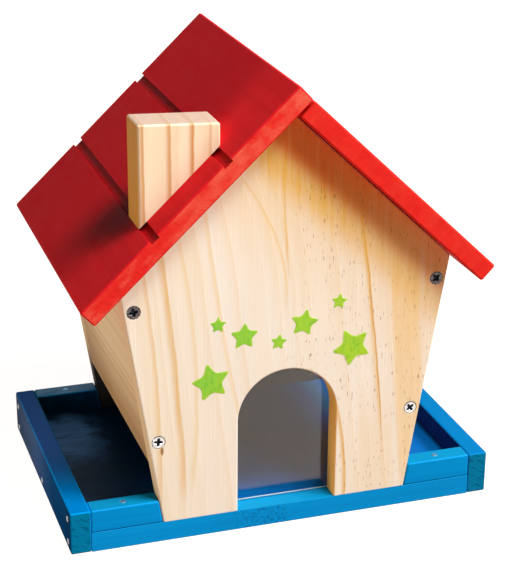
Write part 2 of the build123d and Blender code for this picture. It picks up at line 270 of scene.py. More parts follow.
class Field:
    """A number that varies over a surface; arithmetic on it adds the nodes that work it out."""

    def __init__(self, look, socket):
        self.look = look
        self.socket = socket

    def __add__(self, other):
        return self.look.math("ADD", self, other)

    __radd__ = __add__

    def __sub__(self, other):
        return self.look.math("SUBTRACT", self, other)

    def __rsub__(self, other):
        return self.look.math("SUBTRACT", other, self)

    def __mul__(self, other):
        return self.look.math("MULTIPLY", self, other)

    __rmul__ = __mul__

    def __truediv__(self, other):
        return self.look.math("DIVIDE", self, other)

    def above(self, floor):
        return self.look.math("MAXIMUM", self, floor)

    def size(self):
        return self.look.math("ABSOLUTE", self)

    def fraction(self):
        return self.look.math("FRACT", self)

    def ramp(self, low, high):
        """Smooth step from 0 at low to 1 at high."""
        node = self.look.node("ShaderNodeMapRange", interpolation_type="SMOOTHSTEP")
        for name, value in (("Value", self), ("From Min", low), ("From Max", high)):
            self.look.feed(node.inputs[name], value)
        return Field(self.look, node.outputs["Result"])


class Look:
    """A material, with a short call for each kind of node that it uses."""

    def __init__(self, name):
        self.material = bpy.data.materials.new(name)
        self.material.use_nodes = True
        self.tree = self.material.node_tree
        self.shader = self.tree.nodes["Principled BSDF"]

    def node(self, kind, **settings):
        made = self.tree.nodes.new(kind)
        for key, value in settings.items():
            setattr(made, key, value)
        return made

    def feed(self, socket, value):
        """Link a field to a socket, or set the socket's own value."""
        if isinstance(value, Field):
            self.tree.links.new(value.socket, socket)
        else:
            socket.default_value = value

    def set(self, **values):
        """Values of the shader's sockets, by their names in small letters."""
        for name, value in values.items():
            self.feed(self.shader.inputs[name.replace("_", " ").title().replace("Ior", "IOR")], value)

    def math(self, operation, *values):
        node = self.node("ShaderNodeMath", operation=operation)
        for socket, value in zip(node.inputs, values):
            self.feed(socket, value)
        return Field(self, node.outputs[0])

    def split(self, socket):
        node = self.node("ShaderNodeSeparateXYZ")
        self.tree.links.new(socket, node.inputs[0])
        return [Field(self, output) for output in node.outputs]

    def place(self):
        """Place in the piece's own frame, in millimetres."""
        metres = self.split(self.node("ShaderNodeTexCoord").outputs["Object"])
        return [field / MM for field in metres]

    def facing(self):
        """Direction that the surface faces, in the piece's own frame."""
        return self.split(self.node("ShaderNodeTexCoord").outputs["Normal"])

    def noise(self, x, y, z, detail=2.0):
        point = self.node("ShaderNodeCombineXYZ")
        for socket, value in zip(point.inputs, (x, y, z)):
            self.feed(socket, value)
        node = self.node("ShaderNodeTexNoise")
        self.tree.links.new(point.outputs[0], node.inputs["Vector"])
        node.inputs["Scale"].default_value = 1.0
        node.inputs["Detail"].default_value = detail
        return Field(self, node.outputs[0])

    def mix(self, share, first, second):
        node = self.node("ShaderNodeMix", data_type="RGBA")
        for index, value in ((0, share), (6, first), (7, second)):
            self.feed(node.inputs[index], value)
        return Field(self, node.outputs[2])

    def shaded(self, colour, level):
        """A colour made lighter or darker by a field."""
        node = self.node("ShaderNodeVectorMath", operation="SCALE")
        self.feed(node.inputs["Vector"], colour)
        self.feed(node.inputs["Scale"], level)
        return Field(self, node.outputs["Vector"])

    def edges(self, reach):
        """About 1 along sharp edges, fading to 0 a little way in."""
        rounded = self.node("ShaderNodeBevel", samples=6)
        rounded.inputs["Radius"].default_value = reach * MM
        flat = self.node("ShaderNodeNewGeometry")
        turn = self.node("ShaderNodeVectorMath", operation="DOT_PRODUCT")
        self.tree.links.new(rounded.outputs[0], turn.inputs[0])
        self.tree.links.new(flat.outputs["Normal"], turn.inputs[1])
        return Field(self, turn.outputs["Value"]).ramp(0.99, 0.80)

    def relief(self, height, depth):
        """Bump from a height field; depth is in millimetres."""
        node = self.node("ShaderNodeBump")
        node.inputs["Strength"].default_value = 0.6
        node.inputs["Distance"].default_value = depth * MM
        self.feed(node.inputs["Height"], height)
        self.tree.links.new(node.outputs["Normal"], self.shader.inputs["Normal"])


def pine(
        name, axes, seed, spacing, lean, tones=FRONT_PINE, bow=0.0, bands=0.6, lines=(), resin_from=None,
        marks=()):
    """Planed pine: growth bands, fibres, resin dashes. The axes are across, through and along the grain."""
    look = Look(name)
    pale, warm, band = tones
    place = look.place()
    facing = look.facing()
    across, through, along = [place[axis] for axis in axes]
    sway = look.noise(across * 0.014, through * 0.014 + seed, along * 0.007)
    drift = (along - BOW_FROM).above(0)
    ring = across + through * 0.5 + along * lean + drift * drift * bow + sway * 9
    ring = ring + look.noise(ring * 0.045, seed, seed) * 26
    phase = (ring / spacing).fraction()
    late = phase.ramp(0.25, 0.90) * phase.ramp(1.0, 0.93)
    strength = look.noise(ring * 0.09, seed + 3, seed).ramp(0.30, 0.72)
    zone = look.noise(ring * 0.022, seed + 7, along * 0.002).ramp(0.45, 0.72)
    fibre = look.noise(across * 1.5, through * 1.5, along * 0.022 + seed, 3.0)
    cloud = look.noise(across * 0.05, through * 0.05 + seed, along * 0.02)
    waver = across + look.noise(across * 0.1, seed, along * 0.05) * 1.6 - 0.8
    colour = look.mix(zone * 0.4, pale, warm)
    colour = look.mix(late * strength * bands, colour, band)
    for start, slant, curve, half_width, share, low, high, shade in lines:
        step = along - LINE_LEVEL
        beside = waver - (step * slant + step * step * curve + start)
        line = beside.ramp(-1.8 * half_width, 0) * beside.ramp(0.5 * half_width, 0.1 * half_width)
        inside = along.ramp(low - 10, low + 10) * along.ramp(high + 10, high - 10)
        colour = look.mix(line * inside * (0.35 + fibre * 1.2) * share, colour, shade)
    end = facing[axes[2]].size().ramp(0.80, 0.95)
    colour = look.shaded(colour, 0.91 + fibre * 0.10 + cloud * 0.06 - end * END_GRAIN_DEPTH)
    height = fibre + late * 0.5
    for mark, shade in marks:
        colour = look.mix(mark(look, place, facing), colour, shade)
    if resin_from is not None:
        dashes = look.noise(across * 1.7, through * 1.7, along * 0.26 + seed, 0.0).ramp(0.71, 0.80)
        patches = look.noise(across * 0.14, seed, along * 0.02).ramp(0.28, 0.56)
        dashes = dashes * patches * across.ramp(resin_from - 10, resin_from + 10)
        colour = look.mix(dashes * 0.6, colour, RESIN)
        height = height - dashes * 0.8
    look.set(base_color=colour, roughness=0.46 + fibre * 0.22, specular_ior_level=0.03)
    look.relief(height, 0.10)
    return look.material


def paint(name, axes, tones, end_tones=None, seed=0.0, end_specks=0.0, edge_wear=0.25, gloss=0.08, marks=()):
    """Satin paint on softwood, with the grain telling through and worn edges."""
    look = Look(name)
    coat, deep, worn = tones
    place = look.place()
    facing = look.facing()
    across, through, along = [place[axis] for axis in axes]
    fibre = look.noise(across * 0.9, through * 0.9, along * 0.018 + seed, 3.0)
    cloud = look.noise(across * 0.03, through * 0.03 + seed, along * 0.02)
    ring = look.noise(across * 0.16, through * 0.16, along * 0.004 + seed, 1.0)
    colour = look.mix(ring.ramp(0.40, 0.66) * 0.45 + fibre.ramp(0.45, 0.75) * 0.25, coat, deep)
    end = facing[axes[2]].size().ramp(0.75, 0.95)
    streak = look.noise((through + across * 0.62) * 0.75, (across - through * 0.62) * 0.13, seed, 2.0)
    if end_tones:
        end_colour = look.mix(streak.ramp(0.50, 0.66) * 0.7, *end_tones)
        colour = look.mix(end * 0.85, colour, end_colour)
    patch = look.noise((across + through) * 0.05, (across - through) * 0.13, along * 0.1 + seed, 3.0)
    specks = look.noise(across * 0.9, through * 0.9, along * 0.9 + seed, 3.0)
    pale = patch.ramp(0.42, 0.70) * (0.3 + specks.ramp(0.30, 0.70) * 0.5) * end * end_specks
    chips = look.noise(across * 0.12, through * 0.12, along * 0.12 + seed, 3.0).ramp(0.45, 0.70)
    colour = look.mix(pale + look.edges(1.1) * chips * edge_wear, colour, worn)
    for mark, shade in marks:
        colour = look.mix(mark(look, place, facing), colour, shade)
    colour = look.shaded(colour, 0.92 + cloud * 0.12)
    look.set(base_color=colour, roughness=0.42 + fibre * 0.16 + chips * 0.06, specular_ior_level=gloss)
    look.relief(fibre + ring * 0.6 + end * streak, 0.10)
    return look.material


def smudges(look, place, facing):
    """Dark rub marks on the base's front edge below the doorway."""
    span = place[0].ramp(-46, -6) * place[0].ramp(2, -2) * facing[1].ramp(*FRONTWARD)
    return look.noise(place[0] * 0.6, place[2] * 0.6, 4.0, 3.0).ramp(0.48, 0.60) * span * 0.5


def trough_shade(look, place, facing):
    """Painted shade on the tray's floor: all over it, away from the doorway."""
    edge = look.noise(place[0] * 0.08, place[1] * 0.08, 9.0, 3.0)
    clear = place[0].ramp(24, -16) * (place[0].ramp(-60, -40) * 30 + place[0].ramp(-40, -26) * 14)
    behind = (place[1] + edge * 4 - clear).ramp(-63, place[0].size().ramp(56, 40) * 40 - 54)
    behind = behind * (1 - place[0].ramp(-5, 30) * place[1].ramp(-10, 20) * 0.3)
    return behind * facing[2].ramp(*NEARLY_UPWARD) * (0.97 - place[0].ramp(58, 72) * 0.78)


def tray_light_pool(look, place, facing):
    """Painted pool of light on the tray's floor at the left, with brushed streaks."""
    brushed = look.noise(place[0] * 0.05, place[1] * 0.6, 2.0, 2.0).ramp(0.1, 0.6)
    edge = look.noise(place[0] * 0.09, place[1] * 0.09, 7.0, 3.0) * 30 - 15
    span = (place[0] + edge).ramp(-68, -84) * (place[1] + edge).ramp(-8, 26) * (place[1] - edge).ramp(62, 48)
    worn = span * brushed * 0.9 + place[0].ramp(-60, -90) * 0.06
    return facing[2].ramp(*NEARLY_UPWARD) * worn


def right_floor_shade(look, place, facing):
    """Painted shade: a darker, bluer coat on the tray's floor at the right."""
    return facing[2].ramp(*NEARLY_UPWARD) * place[0].ramp(58, 72) * place[1].ramp(-65, -60) * 0.9


def inside_blue(look, place, facing):
    """Deeper coat on the floor inside the hopper; its darkness is partly painted shade."""
    inside = place[0].size().ramp(60, 50) * place[1].ramp(-65, -60)
    cloud = look.noise(place[0] * 0.1, place[1] * 0.1, 2.0)
    return facing[2].ramp(*NEARLY_UPWARD) * inside * (0.8 + cloud * 0.2)


def rubbed_and_lit_top(look, place, facing):
    """Coat rubbed pale along a back rail's top, with dark streaks left in it; the paleness is partly painted
    light and sheen, on a top that lies in shade.
    """
    streaks = look.noise(place[0] * 0.05, place[1] * 0.7, 3.0, 2.0).ramp(0.62, 0.48)
    return facing[2].ramp(*UPWARD) * place[0].ramp(60, 40) * (0.3 + streaks * 0.65)


def back_rail_inner_shade(look, place, facing):
    """Painted shade on the side of a back rail that faces the seed."""
    return facing[1].ramp(*FRONTWARD) * (0.8 + look.noise(place[0] * 0.1, place[2] * 0.1, 6.0) * 0.2)


def back_foot_shade(look, place, facing):
    """Painted shade at the foot of the back panel, on its edges and higher up its inner side."""
    edge = look.noise(place[0] * 0.06, place[2] * 0.06, 8.0, 3.0) * 10 + place[2]
    inner = facing[1].ramp(*FRONTWARD) * edge.ramp(105, 75)
    return place[1].ramp(71, 69) * look.math("MAXIMUM", inner, edge.ramp(58, 40)) * 0.98


def right_wall_shade(look, place, facing):
    """Painted shade on the lower half of the right wall's inner side."""
    edge = look.noise(place[1] * 0.06, place[2] * 0.06, 8.0, 3.0) * 10 + place[2]
    return facing[0].ramp(*LEFTWARD) * edge.ramp(105, 75) * 0.94


def wall_foot(look, place, facing):
    """Painted shade: darker wood towards the lower edge of a side wall."""
    return place[2].ramp(95, 40) * (0.62 + look.noise(place[1] * 0.02, place[2] * 0.1, 7.0, 3.0) * 0.3)


def yellow_zones(look, place, facing):
    """Yellower bands along the grain of the front."""
    streaks = look.noise(place[0] * 0.5, 9.0, place[2] * 0.02, 2.0)
    share = 0.0
    for start, slant, half_width, strength, low, high in FRONT_ZONES:
        reach = (place[0] - (place[2] - LINE_LEVEL) * slant - start).size()
        inside = place[2].ramp(low - 20, low + 20) * place[2].ramp(high + 20, high - 20)
        share = reach.ramp(half_width, half_width * 0.6) * inside * strength + share
    return share * (0.5 + streaks)


def below_lid(place):
    """Depth of a place below the lid's underside, square to it."""
    out = Vector((math.sin(ROOF_PITCH), 0, math.cos(ROOF_PITCH)))
    under = min(vertex.co.dot(out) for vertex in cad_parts["right_roof_panel"].data.vertices) / MM
    return under - place[0] * out.x - place[2] * out.z


def lid_penumbra_ochre(look, place, facing):
    """Yellower wood in a wide band below the lid: near the lid it is the painted edge of the lid's shadow,
    further down the wood's own tone.
    """
    streaks = look.noise(place[0] * 0.5, 3.0, place[2] * 0.02, 2.0)
    front = facing[1].ramp(*FRONTWARD)
    depth = below_lid(place)
    band = depth.ramp(38, 22) * 0.7 + depth.ramp(85, 30) * 0.4
    return band * front * (0.45 + streaks * 0.7) * (0.7 + place[2].ramp(120, 180) * 0.3)


def lid_shadow(look, place, facing):
    """Painted shadow of the lid: deeper, orange wood along the front below the lid."""
    streaks = look.noise(place[0] * 0.5, 3.0, place[2] * 0.02, 2.0)
    front = facing[1].ramp(*FRONTWARD)
    share = (0.45 + streaks * 0.6) * (0.6 + place[2].ramp(140, 195) * 0.7)
    return below_lid(place).ramp(22, 12) * front * share


def cut_top(look, place, facing):
    """Pinker end grain on the chimney's top."""
    return facing[2].ramp(*UPWARD) * (0.6 + look.noise(place[0] * 0.3, place[1] * 0.1, 3.0, 2.0) * 0.4)


def left_side_shade(look, place, facing):
    """Painted shade: deeper, warmer wood on the sawn sides that look left."""
    return facing[0].ramp(*LEFTWARD) * (0.7 + look.noise(place[1] * 0.3, 5.0, place[2] * 0.02, 2.0) * 0.3)


def jamb_side_shade(look, place, facing):
    """Painted shade: deeper, warmer wood on the doorway's right side, which looks left."""
    inside = place[0].ramp(5, 12) * place[0].ramp(30, 28)
    return facing[0].ramp(-0.2, -0.7) * inside * 0.75


def jamb_shade(look, place, facing):
    """Painted shade on the doorway's right side, towards the pane and the sill."""
    return jamb_side_shade(look, place, facing) * place[1].ramp(-70, -63) * (0.2 + place[2].ramp(50, 12) * 0.5)


def top_shade(look, place, facing):
    """Painted shade: a deeper coat on the faces that look up, which the lamps light most."""
    return facing[2].ramp(*UPWARD) * 0.9


def right_rail_inner_shade(look, place, facing):
    """Painted shade on the inner side of the right rail."""
    return facing[0].ramp(*LEFTWARD) * (0.8 + look.noise(place[1] * 0.1, 6.0, place[2] * 0.1) * 0.2)


def pitch_run(look, place, facing):
    """Brown run of pitch below the lower left screw."""
    wide = (place[0] + 64.0) / 0.8
    high = (place[2] - 49.8) / 2.6
    return (wide * wide + high * high).ramp(1.25, 0.55) * facing[1].ramp(*FRONTWARD) * 0.9


def rail_side_shade(look, place, facing):
    """Painted shade: a deeper, duller coat on the outer side of the left rail."""
    return facing[0].ramp(*LEFTWARD) * (0.75 + look.noise(place[1] * 0.02, place[2] * 0.08, 3.0) * 0.25)


def rail_side_sheen(look, place, facing):
    """Painted sheen: a paler, greyer coat on the outer side of the left rail, towards the back."""
    patch = look.noise(place[1] * 0.04, place[2] * 0.2, 5.0, 2.0)
    return facing[0].ramp(*LEFTWARD) * place[1].ramp(-40, 55) * (0.5 + patch * 0.5)


def rail_top_light(look, place, facing):
    """Painted light: a paler coat on the left rail's top, towards the back, which lies in the house's
    shadow.
    """
    return facing[2].ramp(*UPWARD) * place[1].ramp(-50, 5) * 0.9


def roof_back_shade(look, place, facing):
    """Painted light and shade: the coat is brightest along the roof's front edge and deeper behind it."""
    wander = look.noise(place[0] * 0.05, place[1] * 0.03, 5.0) * 14
    return (place[1] + wander).ramp(-48, -16) * 0.9


def chimney_shadow(look, place, facing):
    """Painted shadow of the chimney on the roof behind its left corner."""
    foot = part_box("chimney")
    left = foot[0].x / MM - place[0]
    behind = place[1] - foot[1].y / MM
    far = behind * 0.9 + left * 0.43 + look.noise(place[0] * 0.06, place[1] * 0.06, 4.0, 2.0) * 8
    aside = (left * 0.9 - behind * 0.43 + 2).size()
    return far.ramp(60, 6) * far.ramp(-14, 2) * aside.ramp(21, 3) * 0.85


def apex_wear(look, place, facing):
    """Thinner coat on the roof's front edge near the ridge."""
    patch = look.noise(place[0] * 0.12, place[2] * 0.12, 2.0, 3.0)
    return facing[1].ramp(*FRONTWARD) * place[2].ramp(150, 200) * patch.ramp(0.35, 0.65) * 0.45


def groove_shade(look, place, facing):
    """Painted shade on the floor of the roof's grooves, which lies below the panel's face."""
    slope = Vector((-math.sin(ROOF_PITCH), 0, math.cos(ROOF_PITCH)))
    top = max(vertex.co.dot(slope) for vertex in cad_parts["left_roof_panel"].data.vertices) / MM
    height = place[0] * slope.x + place[2] * slope.z
    up = facing[0] * slope.x + facing[2] * slope.z
    return height.ramp(top - 0.7, top - 1.4) * up.ramp(*UPWARD) * 0.3


def star_paint(name, left_tone, right_tone):
    """Thin green paint, yellower to the right, with the wood's fibres telling through."""
    look = Look(name)
    x, y, z = look.place()
    fibre = look.noise(x * 1.6, y, z * 0.05, 3.0)
    cloud = look.noise(x * 0.22, y, z * 0.22)
    share = x.ramp(-30, 36) * 0.7 + cloud.ramp(0.35, 0.7) * 0.45
    blotch = look.noise(x * 0.5, y, z * 0.4 + 3, 3.0).ramp(0.50, 0.68) * 0.55
    colour = look.mix(blotch, look.mix(share, left_tone, right_tone), DEEP_GREEN)
    colour = look.shaded(colour, 0.90 + fibre * 0.2)
    look.set(base_color=colour, roughness=0.5 + fibre * 0.15, specular_ior_level=0.35)
    look.relief(fibre, 0.06)
    return look.material


def metal(name, colour, roughness, patchy=0.24):
    """Plated metal with faint scratches and dull spots; where the patches are strong, as on the dark zinc,
    they are painted reflections.
    """
    look = Look(name)
    x, y, z = look.place()
    scratch = look.noise(x * 2.5, y * 2.5, z * 0.3, 2.0)
    spots = look.noise(x * 0.5, y * 0.5, z * 0.5, 3.0)
    shade = look.shaded(colour[:3], 1 - patchy * 0.6 + spots * patchy)
    look.set(base_color=shade, metallic=1.0, roughness=roughness - 0.06 + spots * 0.2)
    look.relief(scratch, 0.02)
    return look.material


def clear_sheet():
    """Clear acrylic with a trace of dust and handling, on a smooth face."""
    look = Look("clear_sheet")
    x, y, z = look.place()
    smear = look.noise(x * 0.05, y, z * 0.09, 4.0)
    tint = look.shaded(PANE_TINT, 0.93 + smear * 0.1)
    shadow = Field(look, look.node("ShaderNodeLightPath").outputs["Is Shadow Ray"])
    look.set(base_color=tint, roughness=0.002 + smear.ramp(0.50, 0.80) * 0.01)
    look.set(transmission_weight=1.0, ior=ACRYLIC_IOR, alpha=1 - shadow * 0.9)
    return look.material


def sawn_edge():
    """Frosted edge of the clear sheet."""
    look = Look("sawn_edge")
    x, y, z = look.place()
    grit = look.noise(x * 2, y * 2, z * 2, 3.0)
    look.set(base_color=look.shaded(PANE_EDGE, 0.8 + grit * 0.3), roughness=0.6 + grit * 0.2)
    look.relief(grit, 0.03)
    return look.material


def soften(node):
    """Round the sharp edges of a board a little; a second material goes on the rounding."""
    weld = node.modifiers.new("weld", "WELD")
    weld.merge_threshold = SAME_CORNER * MM
    bevel = node.modifiers.new("edge_round", "BEVEL")
    bevel.width = EDGE_ROUND * MM
    bevel.segments = EDGE_STEPS
    bevel.limit_method = "ANGLE"
    bevel.angle_limit = SHARP_ANGLE
    bevel.harden_normals = True
    bevel.material = len(node.data.materials) - 1


def dress(material, *names, round_edges=True, edge=None):
    """Give CAD nodes their material, and their rounded edges another if there is one."""
    for name in names:
        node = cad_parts[name]
        node.data.materials.clear()
        node.data.materials.append(material)
        if edge:
            node.data.materials.append(edge)
        if round_edges:
            soften(node)


def piece(name, mesh, *materials):
    """A new object, made from a finished bmesh."""
    data = bpy.data.meshes.new(name)
    mesh.to_mesh(data)
    mesh.free()
    for material in materials:
        data.materials.append(material)
    made = bpy.data.objects.new(name, data)
    bpy.context.scene.collection.objects.link(made)
    return made


def skin(mesh, rings, top, tip, matrix):
    """Close a stack of equal rings between a top point and a tip; each face comes with its level."""
    loops = [[mesh.verts.new(matrix @ Vector(point)) for point in ring] for ring in rings]
    first = mesh.verts.new(matrix @ Vector((0, 0, top)))
    last = mesh.verts.new(matrix @ Vector((0, 0, tip)))
    faces = []
    count = len(rings[0])
    for side in range(count):
        after = (side + 1) % count
        faces.append((mesh.faces.new((first, loops[0][side], loops[0][after])), 0))
        for level, (upper, lower) in enumerate(zip(loops, loops[1:]), 1):
            faces.append((mesh.faces.new((upper[side], lower[side], lower[after], upper[after])), level))
        faces.append((mesh.faces.new((last, loops[-1][after], loops[-1][side])), len(loops)))
    for face, level in faces:
        face.smooth = True
    return faces


def ring(radius, height, sides):
    """Level ring of points about Z."""
    turns = [2 * math.pi * side / sides for side in range(sides)]
    return [(radius * math.cos(turn), radius * math.sin(turn), height) for turn in turns]


def cross_sink(x, y, head):
    """Depth of the driver cross at a point of a head of this radius; the wings narrow to their tips."""
    deepest = 0.0
    for a, b in ((x, y), (y, x)):
        width = head * CROSS_WIDTH * (CROSS_ROOT - CROSS_TAPER * abs(b) / (head * CROSS_REACH))
        side = (width - abs(a)) / (head * CROSS_EDGE) + 0.5
        end = (head * CROSS_REACH - abs(b)) / (head * CROSS_EDGE) + 0.5
        deepest = max(deepest, min(max(side, 0), 1) * min(max(end, 0), 1))
    return deepest * head * CROSS_DEPTH


def screw_rings(head, shank, length, stands):
    """Rings of a cross-head screw down from its head: sunk flush, or standing on the surface."""
    rings = []
    crown = stands * STANDING_CROWN if stands else HEAD_CROWN
    for step in range(1, HEAD_RINGS + 1):
        share = step / HEAD_RINGS
        gap = HEAD_GAP_DEPTH if share > HEAD_SEEN and not stands else 0.0
        level = stands - gap - crown * share ** 3
        circle = ring(head * share, level, HEAD_SIDES)
        rings.append([(x, y, z - cross_sink(x, y, head)) for x, y, z in circle])
    neck = -HEAD_RIM - (0 if stands else head - shank)
    rings.append(ring(head, 0 if stands else -HEAD_RIM, HEAD_SIDES))
    rings.append(ring(shank - THREAD_DEPTH, 0 if stands else neck, HEAD_SIDES))
    steps = int((length - shank + neck) / THREAD_PITCH * THREAD_STEPS)
    for step in range(1, steps):
        height = neck - step * THREAD_PITCH / THREAD_STEPS
        thread = []
        for side, (x, y, z) in enumerate(ring(1, height, HEAD_SIDES)):
            rise = (step / THREAD_STEPS + side / HEAD_SIDES) % 1.0
            radius = shank - THREAD_DEPTH * min(1, abs(rise - 0.5) * 4)
            thread.append((x * radius, y * radius, z))
        rings.append(thread)
    return rings, stands - cross_sink(0, 0, head)


def nail_rings(head, length):
    """Rings of a flat-headed nail down from its head."""
    sides = HEAD_SIDES // 2
    outline = [
        (head * 0.45, 0.0), (head * 0.82, -0.04), (head, -0.16), (head, 0.08 - NAIL_HEAD_HEIGHT),
        (head * 0.9, -NAIL_HEAD_HEIGHT), (NAIL_SHANK, -NAIL_HEAD_HEIGHT - 0.05),
        (NAIL_SHANK, NAIL_SHANK * 2 - length)]
    return [ring(radius, height, sides) for radius, height in outline], 0.0


def mean_point(points):
    """Mean of some points."""
    return sum(points, Vector()) / len(points)


def solids(node):
    """Corner points of each separate solid in a CAD node, in millimetres."""
    mesh = bmesh.new()
    mesh.from_mesh(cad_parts[node].data)
    bmesh.ops.remove_doubles(mesh, verts=mesh.verts, dist=2 * SAME_CORNER * MM)
    seen = set()
    found = []
    for start in mesh.verts:
        if start in seen:
            continue
        seen.add(start)
        grown = [start]
        for vert in grown:
            for edge in vert.link_edges:
                other = edge.other_vert(vert)
                if other not in seen:
                    seen.add(other)
                    grown.append(other)
        found.append([vert.co / MM for vert in grown])
    mesh.free()
    return sorted(found, key=lambda points: [round(value, 2) for value in mean_point(points)])


def fasteners(node):
    """Head point, direction of the head, length and head radius of each fastener in a CAD node."""
    for points in solids(node):
        centre = mean_point(points)
        tip = max(points, key=lambda point: (point - centre).length)
        facing = (centre - tip).normalized()
        rise = max((point - centre).dot(facing) for point in points)
        head = centre + facing * rise
        radius = max((point - centre - facing * (point - centre).dot(facing)).length for point in points)
        yield head, facing, (head - tip).length, radius


def replace(node, mesh, *materials):
    """Put a finished bmesh in the place of a group of CAD fasteners."""
    made = piece(f"{node}_detail", mesh, *materials)
    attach(made, "house")
    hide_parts(node)


def detail_screws(node, materials, stands=0.0, shank_share=SHANK_SHARE, front=False):
    """Cross-head screws with threads; the materials are head, painted shade for the cross and the gap round
    the head, and, on the front, upper head.
    """
    mesh = bmesh.new()
    for count, (head, facing, length, radius) in enumerate(fasteners(node)):
        upper = head.z > UPPER_SCREWS_FROM
        turn = FRONT_CROSS_TURNS[head.x > 0, upper] if front else CROSS_TURN + CROSS_TURN_STEP * count
        rings, top = screw_rings(radius, radius * shank_share, length - stands, stands)
        spot = Matrix.Translation((head - facing * stands) * MM)
        upright = facing.to_track_quat("Z", "Y").to_matrix().to_4x4()
        matrix = spot @ upright @ Matrix.Rotation(math.radians(turn), 4, "Z") @ Matrix.Scale(MM, 4)
        back = matrix.inverted()
        for face, level in skin(mesh, rings, top, stands - length, matrix):
            centre = back @ face.calc_center_median()
            in_cross = cross_sink(centre.x, centre.y, radius) > CROSS_DARK_FROM * radius * CROSS_DEPTH
            in_gap = not stands and level + 1 > HEAD_SEEN * HEAD_RINGS
            sunk = level < HEAD_RINGS and (in_cross or in_gap)
            face.material_index = 1 if sunk else 2 if front and upper else 0
    replace(node, mesh, *materials)


def detail_nails(node, material):
    """Nails with flat, rounded heads."""
    mesh = bmesh.new()
    for head, facing, length, radius in fasteners(node):
        rings, top = nail_rings(radius + NAIL_COVER, length)
        matrix = Matrix.Translation(head * MM) @ facing.to_track_quat("Z", "Y").to_matrix().to_4x4()
        skin(mesh, rings, top, -length, matrix @ Matrix.Scale(MM, 4))
    replace(node, mesh, material)


def star_outline(width, turn, rng):
    """Five-pointed star with rounded tips and a hand-cut wobble, as points across and up."""
    corners = []
    for count in range(STAR_CORNERS):
        reach = width / 2 * (STAR_POINT if count % 2 == 0 else STAR_WAIST)
        reach *= 1 + rng.uniform(-STAR_WOBBLE, STAR_WOBBLE)
        angle = math.radians(turn + 360 / STAR_CORNERS * count)
        corners.append(Vector((reach * math.sin(angle), reach * math.cos(angle))))
    outline = []
    for count, corner in enumerate(corners):
        cut = STAR_TIP_ROUND if count % 2 == 0 else STAR_WAIST_ROUND
        before = corner.lerp(corners[count - 1], cut)
        after = corner.lerp(corners[(count + 1) % STAR_CORNERS], cut)
        for step in range(STAR_ROUND_STEPS + 1):
            share = step / STAR_ROUND_STEPS
            outline.append(before.lerp(corner, share).lerp(corner.lerp(after, share), share))
    return outline


def paint_stars(middle, rim):
    """Thin stars of paint on the front panel, thinner and lighter at the rim."""
    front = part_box("front_panel")[0].y / MM
    rng = random.Random(STAR_SEED)
    for count, (x, z, width, turn) in enumerate(STARS, 1):
        outline = star_outline(width, turn, rng)
        mesh = bmesh.new()
        layers = []
        for grow, lift in ((1.0, -STAR_SUNK), (1.0, 0.4 * STAR_THICKNESS), (STAR_RIM, STAR_THICKNESS)):
            layers.append([
                mesh.verts.new(Vector((x + grow * point.x, front - lift, z + grow * point.y)) * MM)
                for point in outline])
        for lower, upper in zip(layers, layers[1:]):
            for index in range(len(outline)):
                mesh.faces.new((lower[index - 1], lower[index], upper[index], upper[index - 1]))
        mesh.faces.new(list(reversed(layers[0])))
        for face in mesh.faces:
            face.material_index = 1
        mesh.faces.new(layers[-1])
        bmesh.ops.recalc_face_normals(mesh, faces=mesh.faces)
        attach(piece(f"painted_star_{count}", mesh, middle, rim), "house")


